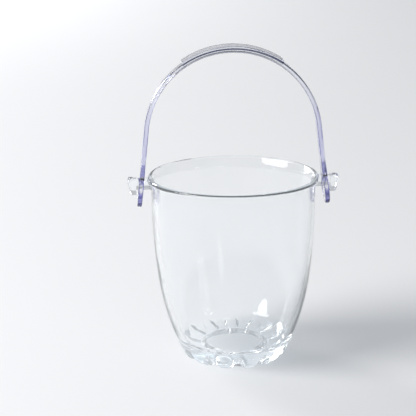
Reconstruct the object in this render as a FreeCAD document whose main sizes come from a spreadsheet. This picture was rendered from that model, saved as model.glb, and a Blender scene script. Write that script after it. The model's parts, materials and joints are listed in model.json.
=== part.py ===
"""A pressed-glass ice bucket with a swinging clear plastic bail.

Two pieces. glass_bucket is the belly-shaped wall with its rolled rim, thick floor, scalloped foot ring and
two solid lugs. bail_handle is the bent strap with the grip pad on its crown and an eye at each end that
hangs on a lug.

Millimetres, +Z up. The origin is on the bucket's axis, at the surface it stands on. The lugs lie along X,
and the bail swings about the X direction through the middle of its two eyes.
"""

import FreeCAD
import Part
import math
import os
import Sketcher

# The driving dimensions, each a cell of the sheet: name, value, meaning.
DIMENSIONS = (
    ("glass_height", 141.0, "table to the top of the rim"),
    ("rim_radius", 63.0, "outside of the rolled rim"),
    ("rim_bead", 1.65, "radius of the rolled rim's round top"),
    ("flare_height", 131.0, "where the wall starts to flare out to the rim"),
    ("wall_radius", 60.6, "outside of the wall above the belly"),
    ("wall_thickness", 3.0, "wall above the belly"),
    ("shoulder_height", 124.0, "where the belly's curve becomes upright"),
    ("belly_radius", 57.0, "outside of the belly"),
    ("belly_height", 66.0, "where the belly's two curves meet"),
    ("belly_thickness", 3.4, "wall at the belly"),
    ("base_radius", 39.9, "outside of the glass above the foot"),
    ("base_height", 7.0, "where the foot's curve meets the belly's"),
    ("floor_height", 14.5, "table to the inside floor"),
    ("floor_edge_radius", 40.6, "inside wall where the floor's corner starts"),
    ("floor_edge_height", 19.5, "height where the floor's corner starts"),
    ("land_radius", 25.0, "inner edge of the flat that the foot stands on"),
    ("recess_radius", 22.0, "hollow under the base"),
    ("recess_height", 5.5, "hollow under the base"),
    ("scallop_count", 12, "scallops cut round the foot"),
    ("scallop_radius", 6.0, "round of each scallop"),
    ("scallop_reach", 36.7, "scallop's axis, a point on it, out from the middle"),
    ("scallop_rise", 0.75, "scallop's axis, the same point, above the table"),
    ("scallop_slope", 37.7, "scallop's axis, degrees above level"),
    ("scallop_run", 44.0, "length of the cut along its axis"),
    ("petal_round", 1.0, "rounding of the petals' edges"),
    ("lug_top", 139.7, "flat top of the lug"),
    ("neck_start", 60.2, "inner end of the lug's neck, buried in the wall"),
    ("neck_radius", 4.4, "lug's round neck"),
    ("neck_overlap", 1.0, "how far the neck runs into the head"),
    ("root_round", 1.4, "hollow rounding where the neck meets the wall"),
    ("head_start", 71.6, "inner face of the lug's head"),
    ("head_top_reach", 78.2, "outer face of the head at its top"),
    ("head_low_reach", 75.4, "outer face of the head near its bottom"),
    ("head_width", 12.0, "lug's head"),
    ("head_bottom", 127.3, "underside of the lug's head"),
    ("head_low_round", 4.5, "rounding of the head's lower edges"),
    ("head_top_round", 2.0, "rounding of the head's upper edges"),
    ("head_face_round", 1.2, "rounding of the edges of the head's outer face"),
    ("pivot_height", 132.0, "axis that the bail swings about"),
    ("arm_tilt", 6.45, "lean of the bail's arms, degrees"),
    ("crown_radius", 63.4, "middle line of the bail's arch"),
    ("crown_height", 170.3, "centre of the bail's arch"),
    ("strap_width", 10.5, "bail's strap"),
    ("strap_thickness", 3.4, "bail's strap, and the plate round each hole"),
    ("strap_end", 144.0, "foot of the strap's outer face, inside the eye's plate"),
    ("grip_width", 16.0, "grip pad on the crown"),
    ("grip_thickness", 1.6, "grip pad, beyond the strap"),
    ("grip_angle", 34.0, "each end of the grip from the crown's middle, degrees"),
    ("eye_radius", 12.0, "round end of the eye's plate"),
    ("eye_drop", 2.0, "centre of the round end, below the hole's"),
    ("eye_hole", 8.4, "radius of the hole that hangs on the lug"),
    ("eye_shoulder", 20.0, "where the plate narrows to the strap, above the hole's centre"),
    ("bail_round", 0.9, "rounding of the bail's edges"),
)
SIZES = {row[0]: row[1] for row in DIMENSIONS}
# Where the middle line of a leaning arm crosses the pivot's height, out from the bucket's axis.
EYE_REACH = (
    "( crown_radius + ( crown_height - pivot_height ) * sin( arm_tilt * 1 deg ) )"
    " / cos( arm_tilt * 1 deg )"
)
WHOLE_TURN = 360.0
NEAR = 1e-3
SHORT = 1.0  # an edge shorter than this only turns a corner
BESIDE = 0.5  # how far past a size an edge may reach and still belong to it


# ---- sheet and sketch helpers ----


def make_sheet(doc):
    """The spreadsheet that holds the driving dimensions, one to a row."""
    sheet = doc.addObject("Spreadsheet::Sheet", "sizes")
    for row, (name, value, meaning) in enumerate(DIMENSIONS, start=1):
        sheet.set(f"A{row}", meaning)
        sheet.set(f"B{row}", str(value))
        sheet.setAlias(f"B{row}", name)
    doc.recompute()
    return sheet


def expression(rule):
    """The sheet's expression for a rule, whose words are set apart by spaces."""
    return " ".join(f"sizes.{word}" if word in SIZES else word for word in rule.split())


def worked_out(rule):
    """The number that a rule comes to."""
    total = 0.0
    for term in rule.replace("- ", "+ -1 * ").split("+"):
        factors = [factor.strip() for factor in term.split("*")]
        if factors != [""]:
            total += math.prod(SIZES[word] if word in SIZES else float(word) for word in factors)
    return total


def origin_plane(body, role):
    """One of the body's own origin planes."""
    return next(feature for feature in body.Origin.OriginFeatures if feature.Role == role)


def new_sketch(body, name, role):
    """A sketch lying on one of the body's origin planes."""
    sketch = body.newObject("Sketcher::SketchObject", name)
    sketch.AttachmentSupport = [(origin_plane(body, role), "")]
    sketch.MapMode = "FlatFace"
    return sketch


def place_sketch(sketch, reach, height, slope=None):
    """Moves a sketch that lies on the YZ plane out along X and up, and tips its normal above level."""
    turn = FreeCAD.Rotation(FreeCAD.Vector(-1, 0, 0), SIZES[slope] if slope else 0)
    sketch.AttachmentOffset = FreeCAD.Placement(FreeCAD.Vector(), turn)
    sketch.setExpression("AttachmentOffset.Base.y", expression(height))
    sketch.setExpression("AttachmentOffset.Base.z", expression(reach))
    if slope:
        sketch.setExpression("AttachmentOffset.Rotation.Angle", expression(slope))


def bind(sketch, words, rule):
    """Adds a dimension and ties it to the sheet. words are the constraint's type and what it measures."""
    index = sketch.addConstraint(Sketcher.Constraint(*words, abs(worked_out(rule))))
    sketch.setExpression(f"Constraints[{index}]", expression(rule))


def hold_along(sketch, kind, axis, geometry, point, rule):
    """Holds a point at a rule's distance from the origin along X or Y. A number is only a first guess."""
    if isinstance(rule, float):
        return
    if rule == "0":
        sketch.addConstraint(Sketcher.Constraint("PointOnObject", geometry, point, axis))
    elif rule.startswith("- "):
        bind(sketch, (kind, geometry, point, -1, 1), rule[2:])
    else:
        bind(sketch, (kind, -1, 1, geometry, point), rule)


def hold(sketch, geometry, point, across, up):
    """Holds a point of an edge by its two rules."""
    hold_along(sketch, "DistanceX", -2, geometry, point, across)
    hold_along(sketch, "DistanceY", -1, geometry, point, up)


def guess(across, up):
    """Where a corner starts before the sketch is solved."""
    numbers = [rule if isinstance(rule, float) else worked_out(rule) for rule in (across, up)]
    return FreeCAD.Vector(numbers[0], numbers[1], 0)


def add_edge(sketch, start, end, bulge):
    """A line, or an arc that rises bulge to the left of its way. Returns it and the numbers of its ends."""
    if bulge == 0:
        return sketch.addGeometry(Part.LineSegment(start, end)), 1, 2
    along = (end - start).normalize()
    middle = (start + end) * 0.5 + FreeCAD.Vector(-along.y, along.x, 0) * bulge
    arc = sketch.addGeometry(Part.Arc(start, middle, end))
    if (sketch.getPoint(arc, 1) - start).Length < NEAR:
        return arc, 1, 2
    return arc, 2, 1


def draw_outline(sketch, corners):
    """Draws a closed outline and returns its edges' indices in order.

    A corner is its two rules, "smooth" or "sharp", and the bulge of the edge after it.
    """
    places = [guess(corner[0], corner[1]) for corner in corners]
    edges = []
    for number, corner in enumerate(corners):
        after = places[(number + 1) % len(corners)]
        edges.append(add_edge(sketch, places[number], after, corner[3]))
    for number, corner in enumerate(corners):
        before, here = edges[number - 1], edges[number]
        kind = "Tangent" if corner[2] == "smooth" else "Coincident"
        sketch.addConstraint(Sketcher.Constraint(kind, before[0], before[2], here[0], here[1]))
        hold(sketch, here[0], here[1], corner[0], corner[1])
    return [edge[0] for edge in edges]


def hold_arc(sketch, arc, across, up, radius):
    """Fixes an arc's centre and radius by their rules."""
    hold(sketch, arc, 3, across, up)
    bind(sketch, ("Radius", arc), radius)


def lean_edge(sketch, line, rule):
    """Sets a line's direction, in degrees from X, by a rule."""
    turn = math.radians(worked_out(rule))
    index = sketch.addConstraint(Sketcher.Constraint("Angle", line, turn))
    sketch.setExpression(f"Constraints[{index}]", f"({expression(rule)}) * 1 deg")


def add_circle(sketch, radius):
    """A circle of a sheet radius about the sketch's origin."""
    circle = sketch.addGeometry(Part.Circle(FreeCAD.Vector(), FreeCAD.Vector(0, 0, 1), worked_out(radius)))
    sketch.addConstraint(Sketcher.Constraint("Coincident", circle, 3, -1, 1))
    bind(sketch, ("Radius", circle), radius)


# ---- feature helpers ----


def pad(body, name, sketch, rule, both_ways=True):
    """Pads a sketch by a sheet length, half each way unless told otherwise."""
    feature = body.newObject("PartDesign::Pad", name)
    feature.Profile = sketch
    feature.Midplane = both_ways
    feature.setExpression("Length", expression(rule))
    return feature


def pocket(body, name, sketch, rule):
    """Cuts a sketch by a sheet length, half each way."""
    feature = body.newObject("PartDesign::Pocket", name)
    feature.Profile = sketch
    feature.Midplane = True
    feature.setExpression("Length", expression(rule))
    return feature


def mirror(body, name, originals):
    """Repeats features on the other side of the YZ plane."""
    feature = body.newObject("PartDesign::Mirrored", name)
    feature.Originals = originals
    feature.MirrorPlane = (origin_plane(body, "YZ_Plane"), [""])
    body.Tip = feature
    return feature


def round_edges(doc, body, name, rule, chosen):
    """Rounds the edges of the body's last feature that chosen() picks, by a sheet radius."""
    doc.recompute()
    base = body.Tip
    names = [f"Edge{number}" for number, edge in enumerate(base.Shape.Edges, start=1) if chosen(edge)]
    feature = body.newObject("PartDesign::Fillet", name)
    feature.Base = (base, names)
    feature.setExpression("Radius", expression(rule))
    body.Tip = feature
    return feature


def volume_after(doc, feature):
    """The body's volume once this feature is worked out."""
    doc.recompute()
    return feature.Shape.Volume


# ---- the glass bucket ----


def make_wall(body):
    """The wall, rolled rim, floor and plain foot ring, turned about the axis."""
    sketch = new_sketch(body, "wall_outline", "XZ_Plane")
    inside = "wall_radius - wall_thickness"
    corners = [
        ("0", "recess_height", "sharp", 0),
        ("recess_radius", "recess_height", "sharp", 0),
        ("land_radius", "0", "sharp", 0),
        (28.9, "0", "smooth", -1.9),
        ("base_radius", "base_height", "smooth", -2.4),
        ("belly_radius", "belly_height", "smooth", -0.9),
        ("wall_radius", "shoulder_height", "smooth", 0),
        ("wall_radius", "flare_height", "smooth", 0.55),
        (62.75, 138.5, "smooth", -1.7),
        (59.9, 140.1, "smooth", -0.6),
        (inside, "flare_height", "smooth", 0),
        (inside, "shoulder_height", "smooth", 1.0),
        ("belly_radius - belly_thickness", "belly_height", "smooth", 1.6),
        ("floor_edge_radius", "floor_edge_height", "smooth", 1.4),
        (33.0, "floor_height", "smooth", 0),
        ("0", "floor_height", "sharp", 0),
    ]
    edges = draw_outline(sketch, corners)
    bead = edges[8]
    hold_arc(sketch, bead, "rim_radius - rim_bead", "glass_height - rim_bead", "rim_bead")
    wall = body.newObject("PartDesign::Revolution", "wall")
    wall.Profile = sketch
    wall.ReferenceAxis = (sketch, ["V_Axis"])
    wall.Angle = WHOLE_TURN
    return wall


def make_scallops(body):
    """Leaning round cuts that leave the foot ring as a ring of petals."""
    sketch = new_sketch(body, "scallop_outline", "YZ_Plane")
    place_sketch(sketch, "scallop_reach", "scallop_rise", "scallop_slope")
    add_circle(sketch, "scallop_radius")
    cut = pocket(body, "scallop", sketch, "scallop_run")
    ring = body.newObject("PartDesign::PolarPattern", "scallops")
    ring.Originals = [cut]
    ring.Axis = (origin_plane(body, "Z_Axis"), [""])
    ring.Angle = WHOLE_TURN
    ring.setExpression("Occurrences", expression("scallop_count"))
    body.Tip = ring
    return ring


def make_lugs(body):
    """The solid lug on each side: a round neck for the bail to hang on, and a head that keeps it there."""
    neck_sketch = new_sketch(body, "neck_outline", "YZ_Plane")
    place_sketch(neck_sketch, "neck_start", "lug_top - neck_radius")
    add_circle(neck_sketch, "neck_radius")
    length = "head_start - neck_start + neck_overlap"
    neck = pad(body, "neck", neck_sketch, length, both_ways=False)
    head_sketch = new_sketch(body, "head_outline", "XZ_Plane")
    draw_outline(head_sketch, [
        ("head_start", "head_bottom", "sharp", 0),
        ("head_low_reach", "head_bottom", "sharp", 0),
        ("head_top_reach", "lug_top", "sharp", 0),
        ("head_start", "lug_top", "sharp", 0),
    ])
    head = pad(body, "head", head_sketch, "head_width")
    return mirror(body, "both_lugs", [neck, head])


def on_scallop(edge):
    """An edge of a scallop: low down, outside the hollow under the base, and not round the axis."""
    nearest = min(math.hypot(spot.X, spot.Y) for spot in edge.Vertexes)
    low = edge.BoundBox.ZMax < SIZES["floor_height"]
    return low and nearest > SIZES["land_radius"] + BESIDE and not turns_about_axis(edge)


def turns_about_axis(edge):
    """A circle, or part of one, about the bucket's own axis."""
    curve = edge.Curve
    return isinstance(curve, Part.Circle) and abs(curve.Axis.z) > 1 - NEAR


def at_neck_root(edge):
    """The edge where a lug's neck meets the wall."""
    box = edge.BoundBox
    slim = max(abs(box.YMin), abs(box.YMax)) < SIZES["neck_radius"] + BESIDE
    nearest = min(abs(box.XMin), abs(box.XMax))
    furthest = max(abs(box.XMin), abs(box.XMax))
    beside_wall = nearest > SIZES["neck_start"] and furthest < SIZES["rim_radius"] + BESIDE
    return slim and beside_wall and box.ZMin > SIZES["flare_height"] - SHORT


def along_head_top(edge):
    """The two long upper edges of a lug's head."""
    box = edge.BoundBox
    top = box.ZMin > SIZES["lug_top"] - NEAR
    return top and box.XLength > SHORT and box.YLength < NEAR and far_out(box)


def along_head_bottom(edge):
    """The two long lower edges of a lug's head."""
    box = edge.BoundBox
    bottom = box.ZMax < SIZES["head_bottom"] + NEAR
    return bottom and box.XLength > SHORT and box.YLength < NEAR and far_out(box)


def on_head_face(edge):
    """An edge of the head's outer face."""
    box = edge.BoundBox
    reach = min(abs(box.XMin), abs(box.XMax))
    return reach > SIZES["head_low_reach"] - NEAR


def far_out(box):
    """True past the inner face of the lugs' heads."""
    return min(abs(box.XMin), abs(box.XMax)) > SIZES["head_start"] - NEAR


def make_bucket(doc):
    """The one glass piece."""
    body = doc.addObject("PartDesign::Body", "glass_bucket")
    body.Label = "glass_bucket"
    wall = make_wall(body)
    plain = volume_after(doc, wall)
    scallops = make_scallops(body)
    scalloped = volume_after(doc, scallops)
    print(f"wall {plain:.0f} mm3, scalloped {scalloped:.0f} mm3")
    make_lugs(body)
    round_edges(doc, body, "rounded_neck_roots", "root_round", at_neck_root)
    round_edges(doc, body, "rounded_petals", "petal_round", on_scallop)
    round_edges(doc, body, "rounded_head_tops", "head_top_round", along_head_top)
    round_edges(doc, body, "rounded_head_bottoms", "head_low_round", along_head_bottom)
    round_edges(doc, body, "rounded_head_faces", "head_face_round", on_head_face)
    return body


# ---- the bail ----


def make_strap(body):
    """Half of the bent strap, from the crown's middle to inside one eye's plate."""
    sketch = new_sketch(body, "strap_outline", "XZ_Plane")
    edges = draw_outline(sketch, [
        ("0", 232.0, "sharp", 26.0),
        (61.4, 177.0, "smooth", 0),
        (65.4, 143.7, "sharp", 0),
        (68.0, "strap_end", "sharp", 0),
        (64.2, 177.0, "smooth", -26.0),
        ("0", 235.0, "sharp", 0),
    ])
    inner, inner_arm, foot, outer_arm, outer = edges[:5]
    hold_arc(sketch, inner, "0", "crown_height", "crown_radius - strap_thickness * 0.5")
    sketch.addConstraint(Sketcher.Constraint("Coincident", outer, 3, inner, 3))
    bind(sketch, ("Radius", outer), "crown_radius + strap_thickness * 0.5")
    sketch.addConstraint(Sketcher.Constraint("Parallel", inner_arm, outer_arm))
    sketch.addConstraint(Sketcher.Constraint("Perpendicular", foot, outer_arm))
    lean_edge(sketch, outer_arm, "90 + arm_tilt")
    return pad(body, "strap", sketch, "strap_width")


def make_grip(body):
    """Half of the grip pad, which lies on the outside of the crown and starts inside the strap."""
    sketch = new_sketch(body, "grip_outline", "XZ_Plane")
    edges = draw_outline(sketch, [
        ("0", 234.2, "sharp", 2.7),
        (35.3, 223.4, "sharp", 0),
        (37.0, 225.8, "sharp", -2.8),
        ("0", 237.1, "sharp", 0),
    ])
    inner, end, outer = edges[:3]
    hold_arc(sketch, inner, "0", "crown_height", "crown_radius")
    sketch.addConstraint(Sketcher.Constraint("Coincident", outer, 3, inner, 3))
    bind(sketch, ("Radius", outer), "crown_radius + strap_thickness * 0.5 + grip_thickness")
    sketch.addConstraint(Sketcher.Constraint("PointOnObject", inner, 3, end))
    lean_edge(sketch, end, "90 - grip_angle")
    return pad(body, "grip", sketch, "grip_width")


def make_eye(doc, body):
    """The plate at the foot of one arm, in line with the arm, and its round hole."""
    plate_sketch = new_sketch(body, "eye_outline", "YZ_Plane")
    place_sketch(plate_sketch, EYE_REACH, "pivot_height", "arm_tilt")
    edges = draw_outline(plate_sketch, [
        ("- strap_width * 0.5", "eye_shoulder", "sharp", 0),
        (-11.5, 1.2, "smooth", -15.2),
        (11.5, 1.2, "smooth", 0),
        ("strap_width * 0.5", "eye_shoulder", "sharp", 0),
    ])
    hold_arc(plate_sketch, edges[1], "0", "- eye_drop", "eye_radius")
    plate = pad(body, "eye_plate", plate_sketch, "strap_thickness")
    solid = volume_after(doc, plate)
    hole_sketch = new_sketch(body, "eye_hole_outline", "YZ_Plane")
    place_sketch(hole_sketch, EYE_REACH, "pivot_height", "arm_tilt")
    add_circle(hole_sketch, "eye_hole")
    hole = pocket(body, "eye_hole", hole_sketch, "strap_thickness * 2")
    print(f"eye's hole cuts {solid - volume_after(doc, hole):.0f} mm3")
    return plate, hole


def sideways(edge):
    """How far an edge reaches from the bail's middle plane."""
    return max(abs(edge.BoundBox.YMin), abs(edge.BoundBox.YMax))


def along_strap(edge):
    """A long outside edge of the strap. The seam where the grip lies on it is left."""
    box = edge.BoundBox
    seam = isinstance(edge.Curve, Part.Circle) and abs(edge.Curve.Radius - SIZES["crown_radius"]) < NEAR
    flush = abs(sideways(edge) - SIZES["strap_width"] * 0.5) < NEAR and box.YLength < NEAR
    return flush and box.ZLength > SIZES["strap_thickness"] and not seam


def round_plate(edge):
    """An edge of an eye's plate that follows its outline or its hole."""
    box = edge.BoundBox
    low = box.ZMax < SIZES["crown_height"]
    return low and sideways(edge) > SIZES["strap_width"] * 0.5 + NEAR and box.ZLength > SHORT


def round_grip(edge):
    """A long upper edge of the grip, or the upper edge of one of its ends."""
    box = edge.BoundBox
    top = SIZES["crown_radius"] + SIZES["strap_thickness"] * 0.5 + SIZES["grip_thickness"]
    lengthwise = isinstance(edge.Curve, Part.Circle) and abs(edge.Curve.Radius - top) < NEAR
    crosswise = box.ZMin > SIZES["crown_height"] and box.YLength > SIZES["grip_width"] - NEAR
    return lengthwise or crosswise


def on_bail(edge):
    """Every edge of the bail that a hand would meet."""
    return along_strap(edge) or round_plate(edge) or round_grip(edge)


def make_bail(doc):
    """The one clear plastic piece."""
    body = doc.addObject("PartDesign::Body", "bail_handle")
    body.Label = "bail_handle"
    strap = make_strap(body)
    grip = make_grip(body)
    plate, hole = make_eye(doc, body)
    mirror(body, "both_halves", [strap, grip, plate, hole])
    round_edges(doc, body, "rounded_bail", "bail_round", on_bail)
    return body


def main():
    """Builds both pieces, checks them and writes one file each."""
    doc = FreeCAD.newDocument("ice_bucket")
    make_sheet(doc)
    bodies = [make_bucket(doc), make_bail(doc)]
    doc.recompute()
    for thing in doc.Objects:
        if "Invalid" in thing.State or "Error" in thing.State:
            raise RuntimeError(f"{thing.Name} failed: {thing.State}")
    os.makedirs("parts", exist_ok=True)
    for body in bodies:
        if body.Shape.isNull() or not body.Shape.isValid():
            raise RuntimeError(f"{body.Label} has no valid shape")
        body.Shape.exportStep(os.path.join("parts", f"{body.Label}.step"))
        box = body.Shape.BoundBox
        print(body.Label, f"{body.Shape.Volume:.0f} mm3", box)


main()
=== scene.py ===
"""Looks of the pressed-glass ice bucket: its glass, its clear plastic bail, and a floor, light and camera."""

import json
import math

import bpy
from mathutils import Matrix, Vector

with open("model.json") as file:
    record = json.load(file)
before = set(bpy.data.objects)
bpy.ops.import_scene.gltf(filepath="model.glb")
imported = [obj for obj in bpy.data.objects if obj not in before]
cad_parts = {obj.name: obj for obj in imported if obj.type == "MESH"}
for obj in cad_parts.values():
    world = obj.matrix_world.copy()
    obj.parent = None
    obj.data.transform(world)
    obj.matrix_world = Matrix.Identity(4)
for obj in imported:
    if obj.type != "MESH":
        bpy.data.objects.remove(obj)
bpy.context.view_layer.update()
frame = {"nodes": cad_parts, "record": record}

# ---- camera ----

CAMERA_PLACE = (-0.0593, -0.9982, 0.3890)
CAMERA_YAW = -2.319       # degrees, about +Z, from looking along +Y
CAMERA_PITCH = 15.30      # degrees below level
CAMERA_ROLL = -0.648
CAMERA_LENS = 120.8
SENSOR = 36.0
CLIP = (0.01, 100)


def add_camera():
    yaw, pitch, roll = (math.radians(angle) for angle in (CAMERA_YAW, CAMERA_PITCH, CAMERA_ROLL))
    ahead = Vector((-math.sin(yaw) * math.cos(pitch), math.cos(yaw) * math.cos(pitch), -math.sin(pitch)))
    level = Vector((math.cos(yaw), math.sin(yaw), 0))
    above = level.cross(ahead)
    right = math.cos(roll) * level + math.sin(roll) * above
    up = math.cos(roll) * above - math.sin(roll) * level
    data = bpy.data.cameras.new("camera")
    data.lens, data.sensor_width = CAMERA_LENS, SENSOR
    data.clip_start, data.clip_end = CLIP
    camera = bpy.data.objects.new("camera", data)
    turn = Matrix((right, up, -ahead)).transposed()
    camera.matrix_world = Matrix.Translation(CAMERA_PLACE) @ turn.to_4x4()
    bpy.context.scene.collection.objects.link(camera)
    bpy.context.scene.camera = camera


# ---- material numbers: lengths in metres, noise scales in cells per metre ----

# Where things lie on the bail.
PIVOT_HEIGHT = frame["record"]["behaviour"]["joints"][0]["pos_m"][2]
CROWN_CENTRE = 0.1703          # height of the middle of the arch
EYE = PIVOT_HEIGHT - CROWN_CENTRE  # height of the eyes' middle, over the arch's
STRAP_OUTSIDE = 0.0651         # outside of the arch, from its middle
STRAP_HALF_WIDTH = 0.00525
PAD_OVERHANG = 0.00275         # how much wider the grip pad is on each side
PAD_RISE = (0.0004, 0.0009)    # beyond the strap's outside, where the pad's edges take over from the strap's
EDGE_RISE = (-0.0014, -0.0010)  # from a side, where its edge begins and is full

# The painted shade line, slate, at the grip pad's step. Each pair is where it goes from nothing to full: in
# height over the arch's middle, from the strap's outside inwards and outwards, and from the strap's side.
STEP_HEIGHTS = (0.010, 0.045)
STEP_INSIDE = (-0.0012, -0.0006)
STEP_OUTSIDE = (0.0006, 0.0002)
STEP_SIDE = (-0.0012, -0.0006)
STEP_PAINTED_SHADE = (0.015, 0.02, 0.05)

# Glass: its refraction, how much passes, and the tint, density and painted glow in its depth.
GLASS_IOR, GLASS_CLEAR = 1.51, 1.0
GLASS_FILL = (0.69, 0.725, 0.75), 14, (0.38, 0.405, 0.425)
GLASS_TINTS = (0.990, 0.995, 0.997), (0.975, 0.985, 0.990)
GLASS_CLOUDS = 22
GLASS_POLISH = 55
GLASS_ROUGHNESS = (0.0, 0.02)
POLISH_SPAN = (0.45, 0.75)     # the noise values that the roughness is spread over
WAVE, WAVE_STRETCH, WAVE_DEPTH = 38, (1, 1, 0.6), 0.00022
RIPPLE, RIPPLE_DEPTH = 160, 0.00002

# Plastic: the same, then its colours at the eye's foot, the eye, the arms and the crown.
PLASTIC_IOR, PLASTIC_CLEAR = 1.49, 0.99
PLASTIC_FILL = (0.36, 0.36, 0.72), 5, (0.15, 0.15, 0.17)
# The colours by height below are partly the plastic's own tint and partly painted refraction.
PLASTIC_FOOT, PLASTIC_EYE = (0.52, 0.50, 0.86), (0.99, 0.99, 1.0)
# Each row below: the plain colour, then the painted shade on the rounded edges, low on the arms and high at
# the crown.
PLASTIC_LOW, PLASTIC_LOW_EDGE_SHADE = (0.70, 0.705, 0.88), (0.15, 0.15, 0.42)
PLASTIC_HIGH, PLASTIC_HIGH_EDGE_SHADE = (0.96, 0.965, 0.98), (0.82, 0.83, 0.91)
FOOT_TO_EYE = (EYE - 0.015, EYE - 0.010)
EYE_TO_ARM = (EYE + 0.004, EYE + 0.010)
ARM_TO_CROWN = (EYE + 0.02, EYE + 0.10)
# How far a surface turns aside where the painted shade on its edges begins, is full, starts to fade and ends.
PLASTIC_STOPS = (0.02, 0.10, 0.80, 0.97)
WEAR, WEAR_STRETCH = 420, (1, 0.25, 1)
PLASTIC_ROUGHNESS = (0.02, 0.06)
WEAR_SPAN = (0.4, 0.8)
FLOW, FLOW_STRETCH, FLOW_DEPTH = 70, (1, 0.3, 0.5), 0.00004

# What is left of a lamp's light after one surface. The glass's low shade gives way to its shade
# between the two heights of SHADE_RISE.
GLASS_SHADE, GLASS_LOW_SHADE = (0.48, 0.51, 0.53), (0.99, 0.99, 0.99)
PLASTIC_SHADE = (0.88, 0.88, 0.93)
SHADE_RISE = (0.015, 0.050)
BOUNCE_SHADE = (0.97, 0.975, 0.98)  # the same for light that the floor scatters

# Floor card: its colours in the view, its painted shade under the lamps, and where along X the shade begins
# and is full.
CARD_TINTS = (0.835, 0.84, 0.85), (0.85, 0.852, 0.86)
CARD_PAINTED_SHADE = (0.30, 0.304, 0.31)
CARD_DARKENS = (-0.45, -1.9)
CARD_CLOUDS = 4
GRAIN, GRAIN_DEPTH = 900, 0.00006
CARD_ROUGHNESS = (0.52, 0.68)
CARD_SHEEN = 0.03


# ---- material nodes ----

def new_material(name):
    """An empty node material. Returns it, its output, and its nodes and links."""
    material = bpy.data.materials.new(name)
    material.use_nodes = True
    nodes, links = material.node_tree.nodes, material.node_tree.links
    nodes.clear()
    return material, nodes.new("ShaderNodeOutputMaterial"), nodes, links


def own_place(nodes, links):
    """The X, Y and Z outputs of a surface's place, in the object's own metres."""
    where = nodes.new("ShaderNodeTexCoord")
    place = nodes.new("ShaderNodeSeparateXYZ")
    links.new(where.outputs["Object"], place.inputs[0])
    return place.outputs


def noise(nodes, links, scale, detail=2.0, stretch=(1, 1, 1)):
    """Noise in the object's own metres, stretched along its axes."""
    where = nodes.new("ShaderNodeTexCoord")
    stretched = nodes.new("ShaderNodeMapping")
    stretched.inputs["Scale"].default_value = stretch
    pattern = nodes.new("ShaderNodeTexNoise")
    pattern.inputs["Scale"].default_value = scale
    pattern.inputs["Detail"].default_value = detail
    links.new(where.outputs["Object"], stretched.inputs["Vector"])
    links.new(stretched.outputs["Vector"], pattern.inputs["Vector"])
    return pattern.outputs["Fac"]


def spread(nodes, links, value, low, high, start=0.3, end=0.7):
    """A value carried smoothly from the range start to end onto the range low to high."""
    ramp = nodes.new("ShaderNodeMapRange")
    ramp.interpolation_type = "SMOOTHSTEP"
    ramp.inputs["From Min"].default_value, ramp.inputs["From Max"].default_value = start, end
    ramp.inputs["To Min"].default_value, ramp.inputs["To Max"].default_value = low, high
    links.new(value, ramp.inputs["Value"])
    return ramp.outputs["Result"]


def bump(nodes, links, height, depth, below=None):
    """A bump whose full height is depth metres, laid over another bump."""
    node = nodes.new("ShaderNodeBump")
    node.inputs["Distance"].default_value = depth
    links.new(height, node.inputs["Height"])
    if below is not None:
        links.new(below, node.inputs["Normal"])
    return node.outputs["Normal"]


def between(nodes, links, factor, first, second):
    """A colour that goes from first to second. Each is a colour or another node's output."""
    mix = nodes.new("ShaderNodeMix")
    mix.data_type = "RGBA"
    links.new(factor, mix.inputs[0])
    for socket, colour in ((mix.inputs[6], first), (mix.inputs[7], second)):
        if isinstance(colour, tuple):
            socket.default_value = (*colour, 1)
        else:
            links.new(colour, socket)
    return mix.outputs[2]


def math_node(nodes, links, operation, first, second=0):
    """A Math node. Each of its two inputs is a number or another node's output."""
    node = nodes.new("ShaderNodeMath")
    node.operation = operation
    for socket, value in zip(node.inputs, (first, second)):
        if isinstance(value, (int, float)):
            socket.default_value = value
        else:
            links.new(value, socket)
    return node.outputs[0]


def turned_aside(nodes, links, stops):
    """One where a surface turns aside from the eye by between the middle two of four amounts."""
    tilt = nodes.new("ShaderNodeLayerWeight")
    tilt.inputs["Blend"].default_value = 0.5
    ramp = nodes.new("ShaderNodeValToRGB")
    stripes = ramp.color_ramp.elements
    stripes[0].position, stripes[1].position = stops[0], stops[3]
    stripes[1].color = (0, 0, 0, 1)
    for stop in stops[1:3]:
        stripes.new(stop).color = (1, 1, 1, 1)
    links.new(tilt.outputs["Facing"], ramp.inputs[0])
    return ramp.outputs[0]


def clear_body(nodes, ior, clear):
    """The shader of a clear solid."""
    body = nodes.new("ShaderNodeBsdfPrincipled")
    body.inputs["IOR"].default_value = ior
    body.inputs["Transmission Weight"].default_value = clear
    return body


def let_lamps_through(nodes, links, out, body, shade, low_shade=None):
    """Joins a clear shader to the output, so that lamps shine through it, tinted, and more dimly high up."""
    path = nodes.new("ShaderNodeLightPath")
    shader = body.outputs[0]
    for kind, colour in (("Is Diffuse Ray", BOUNCE_SHADE), ("Is Shadow Ray", shade)):
        tint = nodes.new("ShaderNodeBsdfTransparent")
        tint.inputs["Color"].default_value = (*colour, 1)
        if kind == "Is Shadow Ray" and low_shade is not None:
            rise = spread(nodes, links, own_place(nodes, links)["Z"], 0, 1, *SHADE_RISE)
            links.new(between(nodes, links, rise, low_shade, shade), tint.inputs["Color"])
        mix = nodes.new("ShaderNodeMixShader")
        links.new(path.outputs[kind], mix.inputs[0])
        links.new(shader, mix.inputs[1])
        links.new(tint.outputs[0], mix.inputs[2])
        shader = mix.outputs[0]
    links.new(shader, out.inputs["Surface"])


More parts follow.
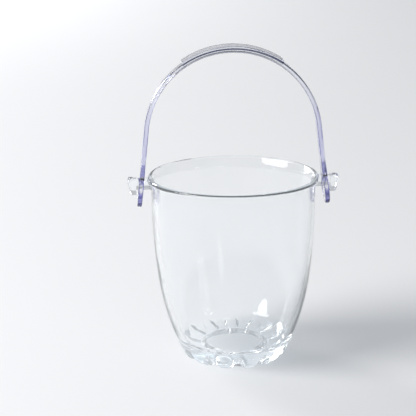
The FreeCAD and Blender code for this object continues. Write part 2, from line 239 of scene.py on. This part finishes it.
def fill(nodes, links, out, tint, density, painted_glow):
    """A tint that deepens with the thickness looked through, and a faint painted glow in the depth, for light
    caught inside.
    """
    absorb = nodes.new("ShaderNodeVolumeAbsorption")
    absorb.inputs["Color"].default_value = (*tint, 1)
    absorb.inputs["Density"].default_value = density
    # A painted glow: the depth gives off light of its own.
    glow = nodes.new("ShaderNodeEmission")
    glow.inputs["Color"].default_value = (*painted_glow, 1)
    glow.inputs["Strength"].default_value = density
    both = nodes.new("ShaderNodeAddShader")
    links.new(absorb.outputs[0], both.inputs[0])
    links.new(glow.outputs[0], both.inputs[1])
    links.new(both.outputs[0], out.inputs["Volume"])


# ---- materials ----

def glass_material():
    """Pressed soda glass: cool where it is thick, a little wavy from the mould, fire polished."""
    material, out, nodes, links = new_material("pressed_glass")
    body = clear_body(nodes, GLASS_IOR, GLASS_CLEAR)
    clouds = spread(nodes, links, noise(nodes, links, GLASS_CLOUDS), 0, 1)
    links.new(between(nodes, links, clouds, *GLASS_TINTS), body.inputs["Base Color"])
    polish = noise(nodes, links, GLASS_POLISH, 3)
    links.new(spread(nodes, links, polish, *GLASS_ROUGHNESS, *POLISH_SPAN), body.inputs["Roughness"])
    wave = bump(nodes, links, noise(nodes, links, WAVE, 1, WAVE_STRETCH), WAVE_DEPTH)
    ripple = bump(nodes, links, noise(nodes, links, RIPPLE), RIPPLE_DEPTH, wave)
    links.new(ripple, body.inputs["Normal"])
    fill(nodes, links, out, *GLASS_FILL)
    let_lamps_through(nodes, links, out, body, GLASS_SHADE, GLASS_LOW_SHADE)
    return material


def bail_places(nodes, links):
    """Height over the middle of the bail's arch, distance from that middle, and distance to the side."""
    x, y, z = own_place(nodes, links)
    up = math_node(nodes, links, "SUBTRACT", z, CROWN_CENTRE)
    squares = [math_node(nodes, links, "MULTIPLY", value, value) for value in (x, up)]
    reach = math_node(nodes, links, "SQRT", math_node(nodes, links, "ADD", *squares))
    return up, reach, math_node(nodes, links, "ABSOLUTE", y)


def on_edges(nodes, links, reach, aside):
    """One on the bail's rounded edges, where shade is painted, which lie further out on the grip pad than on
    the strap.
    """
    pad_start, pad_end = (STRAP_OUTSIDE + beyond for beyond in PAD_RISE)
    on_pad = spread(nodes, links, reach, 0, PAD_OVERHANG, pad_start, pad_end)
    past = math_node(nodes, links, "SUBTRACT", aside, on_pad)
    edge_start, edge_end = (STRAP_HALF_WIDTH + beyond for beyond in EDGE_RISE)
    return spread(nodes, links, past, 0, 1, edge_start, edge_end)


def painted_step_shade(nodes, links, up, reach, aside):
    """One along both edges of the strap's outer face at the crown, where shade is painted at the grip pad's
    step.
    """
    line = spread(nodes, links, up, 0, 1, *STEP_HEIGHTS)
    for value, middle, span in (
        (reach, STRAP_OUTSIDE, STEP_INSIDE),
        (reach, STRAP_OUTSIDE, STEP_OUTSIDE),
        (aside, STRAP_HALF_WIDTH, STEP_SIDE),
    ):
        start, end = (middle + beyond for beyond in span)
        line = math_node(nodes, links, "MULTIPLY", line, spread(nodes, links, value, 0, 1, start, end))
    return line


def plastic_material():
    """Clear moulded plastic: violet on the arms, nearly clear at the crown, with painted shade on its rounded
    edges and at the grip pad's step, flow marks and fine wear.
    """
    material, out, nodes, links = new_material("clear_plastic")
    body = clear_body(nodes, PLASTIC_IOR, PLASTIC_CLEAR)
    up, reach, aside = bail_places(nodes, links)
    # Colours by height, partly the plastic's own tint and partly painted refraction.
    low = PLASTIC_FOOT
    for colour, span in ((PLASTIC_EYE, FOOT_TO_EYE), (PLASTIC_LOW, EYE_TO_ARM)):
        low = between(nodes, links, spread(nodes, links, up, 0, 1, *span), low, colour)
    height = spread(nodes, links, up, 0, 1, *ARM_TO_CROWN)
    plain = between(nodes, links, height, low, PLASTIC_HIGH)
    line = between(nodes, links, height, PLASTIC_LOW_EDGE_SHADE, PLASTIC_HIGH_EDGE_SHADE)
    # Painted shade on the rounded edges, where they turn aside from the eye.
    turned = turned_aside(nodes, links, PLASTIC_STOPS)
    edges = math_node(nodes, links, "MULTIPLY", turned, on_edges(nodes, links, reach, aside))
    edge_shaded = between(nodes, links, edges, plain, line)
    # Painted shade, a slate line, at the grip pad's step.
    stepped = between(nodes, links, painted_step_shade(nodes, links, up, reach, aside), edge_shaded, STEP_PAINTED_SHADE)
    links.new(stepped, body.inputs["Base Color"])
    wear = noise(nodes, links, WEAR, 4, WEAR_STRETCH)
    links.new(spread(nodes, links, wear, *PLASTIC_ROUGHNESS, *WEAR_SPAN), body.inputs["Roughness"])
    flow = bump(nodes, links, noise(nodes, links, FLOW, 1, FLOW_STRETCH), FLOW_DEPTH)
    links.new(flow, body.inputs["Normal"])
    fill(nodes, links, out, *PLASTIC_FILL)
    let_lamps_through(nodes, links, out, body, PLASTIC_SHADE)
    return material


def floor_material():
    """Matt off-white card with a fine grain, and shade painted on it to the left, outside the view, under the
    lamps.
    """
    material, out, nodes, links = new_material("floor_card")
    body = nodes.new("ShaderNodeBsdfPrincipled")
    grain = noise(nodes, links, GRAIN, 3)
    card = between(nodes, links, noise(nodes, links, CARD_CLOUDS), *CARD_TINTS)
    # Painted shade to the left, outside the view, where the lamps light the floor most.
    painted_floor_shade = spread(nodes, links, own_place(nodes, links)["X"], 0, 1, *CARD_DARKENS)
    links.new(between(nodes, links, painted_floor_shade, card, CARD_PAINTED_SHADE), body.inputs["Base Color"])
    links.new(spread(nodes, links, grain, *CARD_ROUGHNESS), body.inputs["Roughness"])
    links.new(bump(nodes, links, grain, GRAIN_DEPTH), body.inputs["Normal"])
    body.inputs["Specular IOR Level"].default_value = CARD_SHEEN
    links.new(body.outputs[0], out.inputs["Surface"])
    return material


# ---- stage ----

FLOOR_SIZE = 12
BOUNCES = 48                   # light bounces many times inside the glass before it leaves

# Each lamp: its name, place, target, width and watts.
LAMPS = (
    ("key", (-2.0, -0.62, 1.36), (0.05, 0.05, 0.05), 1.7, 64),
    ("far_fill", (-2.3, 2.8, 1.2), (-0.2, 2.7, 0), 1.5, 104),
)

# Each patch of the room's light: which way it lies, the cosines where it begins and is full, and its colour.
LOBES = (
    ((0, 0, 1), -3.0, -2.0, (0.075, 0.082, 0.09)),      # the dim room all round
    ((0, 1, 0.35), 0.30, 0.75, (0.38, 0.38, 0.392)),    # pale wall behind
    ((-1, 0.2, 0.45), 0.35, 0.9, (0.34, 0.34, 0.345)),  # window side
    ((-0.2, -1, 0.25), 0.55, 0.9, (0.32, 0.33, 0.34)),  # pale card on the camera's side
)


def add_floor():
    bpy.ops.mesh.primitive_plane_add(size=FLOOR_SIZE)
    floor = bpy.context.object
    floor.name = "floor"
    floor.data.materials.append(floor_material())


def add_lamp(name, place, target, width, power):
    data = bpy.data.lights.new(name, "AREA")
    data.shape, data.size, data.energy = "DISK", width, power
    lamp = bpy.data.objects.new(name, data)
    lamp.location = place
    lamp.rotation_euler = (Vector(target) - Vector(place)).to_track_quat("-Z", "Y").to_euler()
    bpy.context.scene.collection.objects.link(lamp)


def add_world():
    """A dim room with a pale far wall, a window side and a pale card, so that clear pieces show outlines."""
    world = bpy.data.worlds.new("studio")
    bpy.context.scene.world = world
    world.use_nodes = True
    nodes, links = world.node_tree.nodes, world.node_tree.links
    nodes.clear()
    out = nodes.new("ShaderNodeOutputWorld")
    glow = nodes.new("ShaderNodeBackground")
    where = nodes.new("ShaderNodeTexCoord")
    links.new(glow.outputs[0], out.inputs["Surface"])
    total = None
    for direction, start, end, colour in LOBES:
        facing = nodes.new("ShaderNodeVectorMath")
        facing.operation = "DOT_PRODUCT"
        facing.inputs[1].default_value = Vector(direction).normalized()
        links.new(where.outputs["Generated"], facing.inputs[0])
        tinted = nodes.new("ShaderNodeVectorMath")
        tinted.operation = "SCALE"
        tinted.inputs[0].default_value = colour
        links.new(spread(nodes, links, facing.outputs["Value"], 0, 1, start, end), tinted.inputs["Scale"])
        if total is None:
            total = tinted
        else:
            both = nodes.new("ShaderNodeVectorMath")
            both.operation = "ADD"
            links.new(total.outputs[0], both.inputs[0])
            links.new(tinted.outputs[0], both.inputs[1])
            total = both
    links.new(total.outputs[0], glow.inputs["Color"])


# ---- the scene ----

add_camera()
add_floor()
add_world()
for lamp_row in LAMPS:
    add_lamp(*lamp_row)
bpy.context.scene.view_settings.view_transform = "Standard"
bpy.context.scene.cycles.max_bounces = BOUNCES
bpy.context.scene.cycles.transmission_bounces = BOUNCES

for node, material in (("glass_bucket", glass_material()), ("bail_handle", plastic_material())):
    frame["nodes"][node].material_slots[0].material = material
